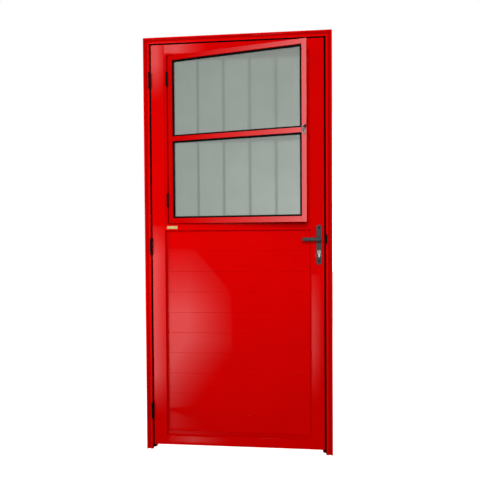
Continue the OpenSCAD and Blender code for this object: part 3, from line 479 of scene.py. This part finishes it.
def paint_finish(name, colour, painted_groove_shade=None, gloss=1.0):
    """Gloss paint, sprayed and baked on aluminium, with painted shade in the frame's groove when its tone is
    given.
    """
    finish = Finish(
        name, coating_group(), Specular_IOR_Level=0.0, Coat_Weight=gloss,
        Coat_Roughness=COAT_ROUGHNESS, Coat_IOR=COAT_IOR)
    grain = bpy.context.scene.door_finish.peel_size
    finish.texture.inputs["Grain Scale"].default_value = 1.0 / grain
    tone = finish.colour(finish.texture.outputs["Tone"], toned(colour, 0.96), toned(colour, 1.04))
    if painted_groove_shade is not None:
        # Painted shade: the paint is darkened in the frame's groove
        finish.shade(tone, painted_groove_shade_mask(finish), painted_groove_shade)
    finish.rough(finish.texture.outputs["Roughness"])
    finish.bump(finish.texture.outputs["Height"], 0.02, RELIEF)
    return finish.material


def satin_finish(name, colour, shine):
    """Satin coating of hinges and handles."""
    finish = Finish(name, coating_group(), Specular_IOR_Level=shine)
    finish.texture.inputs["Grain Scale"].default_value = 1600.0
    finish.colour(finish.texture.outputs["Tone"], toned(colour, 0.85), toned(colour, 1.15))
    finish.rough(finish.texture.outputs["Roughness"])
    finish.bump(finish.texture.outputs["Height"], 0.3, FINE_RELIEF)
    return finish.material


def metal_finish(name, colour, stretch):
    """Bare metal with drawn lines."""
    finish = Finish(name, brushed_group(), Metallic=1.0)
    finish.texture.inputs["Stretch"].default_value = stretch
    finish.colour(finish.texture.outputs["Tone"], toned(colour, 0.85), toned(colour, 1.1))
    finish.rough(finish.texture.outputs["Roughness"])
    finish.bump(finish.texture.outputs["Height"], 0.15, FINE_RELIEF)
    return finish.material


def polished_finish(name, colour):
    """Plated metal, polished, with faint wiping marks."""
    finish = Finish(name, brushed_group(), Metallic=0.9)
    finish.texture.inputs["Stretch"].default_value = LINES_DEEP
    finish.colour(finish.texture.outputs["Tone"], toned(colour, 0.94), toned(colour, 1.05))
    finish.rough(range_node(finish.tree, finish.texture.outputs["Tone"], 0.0, 1.0, 0.08, 0.14))
    finish.bump(finish.texture.outputs["Height"], 0.04, FINE_RELIEF)
    return finish.material


def gilt_finish():
    """Thin sheet with a gilt print."""
    finish = Finish("Gilt plate", brushed_group(), Metallic=0.25)
    finish.texture.inputs["Stretch"].default_value = LINES_ACROSS
    finish.colour(finish.texture.outputs["Tone"], *GILT_TONES)
    finish.rough(finish.texture.outputs["Roughness"])
    finish.bump(finish.texture.outputs["Height"], 0.1, FINE_RELIEF)
    return finish.material


def rubber_finish():
    """Matt extruded rubber."""
    finish = Finish("Gasket rubber", Specular_IOR_Level=0.03)
    grain = noise_node(finish.tree, finish.vector, 900.0, 3.0)
    bloom = noise_node(finish.tree, finish.vector, 30.0, 2.0)
    finish.colour(spread_node(finish.tree, bloom), *RUBBER_TONES)
    finish.rough(spread_node(finish.tree, grain, 0.55, 0.75))
    finish.bump(grain, 0.3, RELIEF)
    return finish.material


def glass_finish():
    """Frosted glass, faintly green."""
    chosen = bpy.context.scene.door_finish
    tint = tuple(chosen.glass_tint)
    finish = Finish(
        "Frosted glass", Transmission_Weight=chosen.glass_clear, IOR=1.45, Specular_IOR_Level=0.1)
    frost = noise_node(finish.tree, finish.vector, 24.0, 1.0)
    cloud = noise_node(finish.tree, finish.vector, 9.0, 2.0)
    finish.colour(spread_node(finish.tree, cloud), toned(tint, 0.97), toned(tint, 1.03))
    finish.rough(spread_node(finish.tree, frost, 0.22, 0.24))
    finish.bump(frost, 0.02, RELIEF)
    return finish.material


def finish_nodes(names, material):
    """Gives CAD nodes their material."""
    for name in names:
        slots = NODES[name].data.materials
        slots.clear()
        slots.append(material)


def mesh_piece(name, shape, material, body):
    """Turns a bmesh into a piece that rides on a body."""
    bmesh.ops.recalc_face_normals(shape, faces=shape.faces)
    mesh = bpy.data.meshes.new(name)
    shape.to_mesh(mesh)
    shape.free()
    mesh.materials.append(material)
    piece = bpy.data.objects.new(name, mesh)
    bpy.context.scene.collection.objects.link(piece)
    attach(piece, body)
    return piece


def round_edges(shape, edges, width, segments):
    """Rounds the given edges."""
    bmesh.ops.bevel(
        shape, geom=edges, offset=width, segments=segments, profile=0.5, affect="EDGES", material=-1)


class DOOR_OT_paint_frame_and_leaf(bpy.types.Operator):
    """Paint the frame, the leaf, its slats and the sash, using lighter and darker copies of one red as
    painted light and shade
    """

    bl_idname = "door.paint_frame_and_leaf"
    bl_label = "Paint frame and leaf"

    def execute(self, context):
        finish = context.scene.door_finish
        # The frame, sash, window and bead reds are lighter and darker copies of the leaf's red: painted light
        # and painted shade
        finish_nodes(FRAME_PAINTED, paint_finish("Frame paint", finish.frame_red_painted_light, finish.painted_groove_shade))
        finish_nodes(LEAF_PAINTED, paint_finish("Leaf paint", finish.red))
        finish_nodes(SASH_PAINTED, paint_finish("Sash paint", finish.sash_red_painted_shade))
        finish_nodes(WINDOW_PAINTED, paint_finish("Window paint", finish.window_red_painted_shade))
        finish_nodes(FOOT_PAINTED, paint_finish("Foot paint", finish.red, gloss=FOOT_GLOSS))
        finish_nodes(BEADS, paint_finish("Bead paint", finish.bead_red_painted_shade, gloss=BEAD_GLOSS))
        return {"FINISHED"}


class DOOR_OT_finish_hardware(bpy.types.Operator):
    """Finish the hinges, the handle, the lock and the screws"""

    bl_idname = "door.finish_hardware"
    bl_label = "Finish hardware"

    def execute(self, context):
        finish = context.scene.door_finish
        finish_nodes(BLACK, satin_finish("Hinge black", HINGE_BLACK, 0.06))
        finish_nodes(HANDLE, satin_finish("Handle grey", finish.handle_grey, 0.5))
        finish_nodes(DARK_LEVER, satin_finish("Latch lever dark", LATCH_DARK, 0.1))
        finish_nodes(STEEL, metal_finish("Plated steel", PLATED_STEEL, LINES_UP))
        finish_nodes(DARK_STEEL, metal_finish("Blackened steel", BLACKENED_STEEL, LINES_UP))
        finish_nodes(BRASS, metal_finish("Drawn brass", DRAWN_BRASS, LINES_DEEP))
        finish_nodes(PLUGS, polished_finish("Plug brass", PLUG_BRASS))
        finish_nodes(NICKEL, polished_finish("Cylinder nickel", CYLINDER_NICKEL))
        finish_nodes(CAST, satin_finish("Latch grey", LATCH_GREY, 0.12))
        return {"FINISHED"}


class DOOR_OT_finish_glazing(bpy.types.Operator):
    """Finish the panes, the gaskets and the grille behind them"""

    bl_idname = "door.finish_glazing"
    bl_label = "Finish glazing"

    def execute(self, context):
        finish_nodes(GLASS, glass_finish())
        finish_nodes(RUBBER, rubber_finish())
        finish_nodes(GRILLE, satin_finish("Grille grey", GRILLE_GREY, 0.2))
        return {"FINISHED"}


class DOOR_OT_add_blank_plate(bpy.types.Operator):
    """Add the small blank plate on the middle rail"""

    bl_idname = "door.add_blank_plate"
    bl_label = "Add blank plate"

    def execute(self, context):
        fit = context.scene.door_fittings
        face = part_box("leaf_middle_rail")[0].y
        shape = bmesh.new()
        bmesh.ops.create_cube(shape, size=1.0)
        bmesh.ops.scale(shape, vec=(fit.plate_length, fit.plate_thick, fit.plate_width), verts=shape.verts)
        corners = [e for e in shape.edges if abs(e.verts[0].co.y - e.verts[1].co.y) > fit.plate_thick / 2]
        round_edges(shape, corners, fit.plate_width * 0.12, 4)
        front = [e for e in shape.edges if all(v.co.y < 0.0 for v in e.verts)]
        round_edges(shape, front, fit.plate_thick * 0.35, 2)
        middle = Vector((
            fit.plate_left + fit.plate_length / 2,
            face - fit.plate_thick / 2,
            fit.plate_low + fit.plate_width / 2,
        ))
        bmesh.ops.translate(shape, vec=middle, verts=shape.verts)
        mesh_piece("blank_plate", shape, gilt_finish(), "leaf")
        return {"FINISHED"}


def add_screw_head(shape, place, out, diameter, rise):
    """Adds a pan head with a straight slot, which stands on a face whose normal is out."""
    start = len(shape.verts)
    made = bmesh.ops.create_cone(
        shape, cap_ends=True, segments=HEAD_SIDES, radius1=diameter / 2, radius2=diameter * HEAD_TOP,
        depth=rise)
    head = made["verts"]
    faces = {face for vert in head for face in vert.link_faces}
    slot = diameter * SLOT_HALF
    for side in (-slot, slot):
        edges = {edge for face in faces for edge in face.edges}
        verts = {vert for face in faces for vert in face.verts}
        bmesh.ops.bisect_plane(
            shape, geom=[*faces, *edges, *verts], plane_co=(side, 0.0, 0.0), plane_no=(1.0, 0.0, 0.0))
        shape.verts.ensure_lookup_table()
        faces = {face for vert in shape.verts[start:] for face in vert.link_faces}
    top = [f for f in faces if f.normal.z > 0.9 and abs(f.calc_center_median().x) < slot]
    sunk = bmesh.ops.extrude_face_region(shape, geom=top)["geom"]
    bmesh.ops.delete(shape, geom=top, context="FACES_ONLY")
    floor = [v for v in sunk if isinstance(v, bmesh.types.BMVert)]
    bmesh.ops.translate(shape, vec=(0.0, 0.0, -rise * SLOT_DEEP), verts=floor)
    shape.verts.ensure_lookup_table()
    turn = Vector((0.0, 0.0, 1.0)).rotation_difference(out).to_matrix().to_4x4()
    stand = Matrix.Translation(place) @ turn @ Matrix.Translation((0.0, 0.0, rise / 2))
    bmesh.ops.transform(shape, matrix=stand, verts=shape.verts[start:])


class DOOR_OT_add_small_screws(bpy.types.Operator):
    """Add the screws of the sash latch and of its keeper"""

    bl_idname = "door.add_small_screws"
    bl_label = "Add small screws"

    def execute(self, context):
        fit = context.scene.door_fittings
        dark = satin_finish("Screw black", SCREW_BLACK, 0.12)
        joints = {joint["name"]: joint for joint in frame["record"]["behaviour"]["joints"]}
        turn = joints["sash_latch_turn"]
        out = Vector(turn["axis"]).normalized()
        pivot = Vector(turn["pos_m"])
        low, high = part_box("sash_latch_base")
        shape = bmesh.new()
        face = pivot - out * fit.latch_face
        for height in (low.z + fit.latch_screw_low, high.z - fit.latch_screw_high):
            place = Vector((face.x, face.y, height))
            add_screw_head(shape, place, out, fit.screw_head, fit.latch_screw_rise)
        mesh_piece("latch_screws", shape, dark, "sash")
        low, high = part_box("sash_keeper")
        shape = bmesh.new()
        for height in (low.z + fit.keeper_screw_in, low.z + fit.keeper_screw_in + fit.keeper_screw_pitch):
            place = Vector((high.x - fit.keeper_screw_side, high.y - fit.keeper_thick, height))
            add_screw_head(shape, place, Vector((0.0, -1.0, 0.0)), fit.screw_head, fit.screw_rise)
        mesh_piece("keeper_screws", shape, dark, "leaf")
        return {"FINISHED"}


class DOOR_OT_set_stage(bpy.types.Operator):
    """Set the floor, the light and the camera"""

    bl_idname = "door.set_stage"
    bl_label = "Set stage"

    def execute(self, context):
        stage = context.scene.door_stage
        add_floor()
        for card in CARDS:
            add_card(*card)
        for name, place, target, size, power in LAMPS:
            add_lamp(name, place, target, size, getattr(stage, power))
        light_world(stage.ambient)
        add_camera(stage)
        context.scene.view_settings.view_transform = "Standard"
        return {"FINISHED"}


def stage_mesh(name, shape, material):
    """Turns a bmesh into an object of the stage."""
    mesh = bpy.data.meshes.new(name)
    shape.to_mesh(mesh)
    shape.free()
    mesh.materials.append(material)
    made = bpy.data.objects.new(name, mesh)
    bpy.context.scene.collection.objects.link(made)
    return made


def seen_rays(tree):
    """One for rays from the camera, a mirror or a pane, nought for the rest."""
    path = place_node(tree, "ShaderNodeLightPath")
    seen = math_node(tree, "MAXIMUM", path.outputs["Is Camera Ray"], path.outputs["Is Glossy Ray"])
    return math_node(tree, "MAXIMUM", seen, path.outputs["Is Transmission Ray"])


def add_floor():
    """Pale floor that reads white and keeps the door's shadow."""
    material = bpy.data.materials.new("Floor")
    material.use_nodes = True
    tree = material.node_tree
    shader = tree.nodes["Principled BSDF"]
    shader.inputs["Base Color"].default_value = FLOOR_WHITE
    shader.inputs["Roughness"].default_value = 0.9
    shader.inputs["Specular IOR Level"].default_value = 0.0
    shader.inputs["Emission Color"].default_value = WHITE
    lift = math_node(tree, "MULTIPLY", seen_rays(tree), FLOOR_GLOW)
    tree.links.new(lift, shader.inputs["Emission Strength"])
    shape = bmesh.new()
    bmesh.ops.create_grid(shape, x_segments=1, y_segments=1, size=FLOOR_SIZE)
    bmesh.ops.translate(shape, vec=(0.0, 0.0, -FLOOR_DROP), verts=shape.verts)
    floor = stage_mesh("floor", shape, material)
    floor.visible_glossy = False
    floor.visible_diffuse = False


def add_card(name, depth, outline, strength, fades_x, fades_z, lean=0.0, slant=None):
    """Light card for gloss alone, which fades along x and z."""
    material = bpy.data.materials.new(name)
    material.use_nodes = True
    tree = material.node_tree
    tree.nodes.remove(tree.nodes["Principled BSDF"])
    glow = place_node(tree, "ShaderNodeEmission")
    tree.links.new(glow.outputs[0], tree.nodes["Material Output"].inputs["Surface"])
    place = place_node(tree, "ShaderNodeSeparateXYZ")
    tree.links.new(place_node(tree, "ShaderNodeTexCoord").outputs["Object"], place.inputs[0])
    level = None
    for axis, fades in (("X", fades_x), ("Z", fades_z)):
        for full, none in fades:
            fade = range_node(tree, place.outputs[axis], none, full)
            level = fade if level is None else math_node(tree, "MULTIPLY", level, fade)
    if slant is not None:
        share_x, share_z, full, none = slant
        along = math_node(tree, "MULTIPLY", place.outputs["X"], share_x)
        along = math_node(tree, "ADD", along, math_node(tree, "MULTIPLY", place.outputs["Z"], share_z))
        level = math_node(tree, "MINIMUM", level, range_node(tree, along, none, full))
    curved = math_node(tree, "POWER", level, FADE_POWER)
    tree.links.new(math_node(tree, "MULTIPLY", curved, strength), glow.inputs["Strength"])
    shape = bmesh.new()
    start = outline[0][0]
    corners = [shape.verts.new((x, depth + lean * (x - start), z)) for x, z in outline]
    shape.faces.new(corners)
    card = stage_mesh(name, shape, material)
    card.visible_camera = False
    card.visible_diffuse = False
    card.visible_transmission = False
    card.visible_shadow = False


def add_lamp(name, place, target, size, power):
    """Square soft lamp that faces a point."""
    lamp = bpy.data.lights.new(name, "AREA")
    lamp.shape = "SQUARE"
    lamp.size = size
    lamp.energy = power
    made = bpy.data.objects.new(name, lamp)
    made.location = place
    made.rotation_euler = (Vector(target) - Vector(place)).to_track_quat("-Z", "Y").to_euler()
    made.visible_camera = False
    made.visible_glossy = False
    made.visible_transmission = False
    bpy.context.scene.collection.objects.link(made)


def light_world(ambient):
    """White to look at, even light for the object, and a room for gloss that is dim in front."""
    world = bpy.data.worlds.new("Studio")
    bpy.context.scene.world = world
    world.use_nodes = True
    tree = world.node_tree
    tree.nodes.clear()
    path = place_node(tree, "ShaderNodeLightPath")
    direction = place_node(tree, "ShaderNodeSeparateXYZ")
    tree.links.new(place_node(tree, "ShaderNodeTexCoord").outputs["Generated"], direction.inputs[0])
    room = range_node(tree, direction.outputs["Y"], ROOM_FROM, ROOM_TO, ROOM_DIM, ROOM_LIT, smooth=True)
    clear = math_node(tree, "MAXIMUM", path.outputs["Is Camera Ray"], path.outputs["Is Transmission Ray"])
    white = place_node(tree, "ShaderNodeBackground")
    white.inputs["Color"].default_value = WHITE
    low = range_node(tree, direction.outputs["Z"], BACKDROP_TOP, BACKDROP_LOW, 0.0, BACKDROP_LIFT)
    right = range_node(tree, direction.outputs["X"], BACKDROP_LEFT, BACKDROP_RIGHT)
    backdrop = math_node(tree, "ADD", math_node(tree, "MULTIPLY", low, right), 1.0)
    shown = math_node(tree, "MULTIPLY", clear, backdrop)
    tree.links.new(math_node(tree, "MAXIMUM", shown, room), white.inputs["Strength"])
    even = place_node(tree, "ShaderNodeBackground")
    even.inputs["Color"].default_value = WHITE
    even.inputs["Strength"].default_value = ambient
    mix = place_node(tree, "ShaderNodeMixShader")
    tree.links.new(seen_rays(tree), mix.inputs["Fac"])
    tree.links.new(even.outputs[0], mix.inputs[1])
    tree.links.new(white.outputs[0], mix.inputs[2])
    tree.links.new(mix.outputs[0], place_node(tree, "ShaderNodeOutputWorld").inputs["Surface"])


def add_camera(stage):
    """Camera at the photograph's viewing angle."""
    data = bpy.data.cameras.new("camera")
    data.sensor_width = 36.0
    data.lens = stage.lens
    made = bpy.data.objects.new("camera", data)
    upright = Matrix.Rotation(math.radians(90.0), 4, "X")
    turn = Matrix.Rotation(stage.yaw, 4, "Z") @ upright
    tilt = Matrix.Rotation(-stage.pitch, 4, "X") @ Matrix.Rotation(stage.roll, 4, "Z")
    made.matrix_world = Matrix.Translation(stage.eye) @ turn @ tilt
    bpy.context.scene.collection.objects.link(made)
    bpy.context.scene.camera = made


class DOOR_PT_sidebar(bpy.types.Panel):
    """Sidebar with the door's operators and settings"""

    bl_idname = "DOOR_PT_sidebar"
    bl_label = "Door"
    bl_space_type = "VIEW_3D"
    bl_region_type = "UI"
    bl_category = "Door"

    def draw(self, context):
        for operator in OPERATORS:
            self.layout.operator(operator.bl_idname)
        for group in (context.scene.door_finish, context.scene.door_fittings, context.scene.door_stage):
            for name in group.bl_rna.properties.keys():
                if name not in ("rna_type", "name"):
                    self.layout.prop(group, name)


OPERATORS = (
    DOOR_OT_paint_frame_and_leaf,
    DOOR_OT_finish_hardware,
    DOOR_OT_finish_glazing,
    DOOR_OT_add_blank_plate,
    DOOR_OT_add_small_screws,
    DOOR_OT_set_stage,
)
GROUPS = {
    "door_finish": DoorFinishSettings,
    "door_fittings": DoorFittingSettings,
    "door_stage": DoorStageSettings,
}


def register():
    """Registers the settings, the operators and the sidebar."""
    for name, group in GROUPS.items():
        bpy.utils.register_class(group)
        setattr(bpy.types.Scene, name, bpy.props.PointerProperty(type=group))
    for operator in OPERATORS:
        bpy.utils.register_class(operator)
    bpy.utils.register_class(DOOR_PT_sidebar)


def unregister():
    """Takes them away again."""
    bpy.utils.unregister_class(DOOR_PT_sidebar)
    for operator in reversed(OPERATORS):
        bpy.utils.unregister_class(operator)
    for name, group in GROUPS.items():
        delattr(bpy.types.Scene, name)
        bpy.utils.unregister_class(group)


def main():
    """Builds the whole scene."""
    register()
    bpy.ops.door.paint_frame_and_leaf()
    bpy.ops.door.finish_hardware()
    bpy.ops.door.finish_glazing()
    bpy.ops.door.add_blank_plate()
    bpy.ops.door.add_small_screws()
    bpy.ops.door.set_stage()


if __name__ == "__main__":
    main()
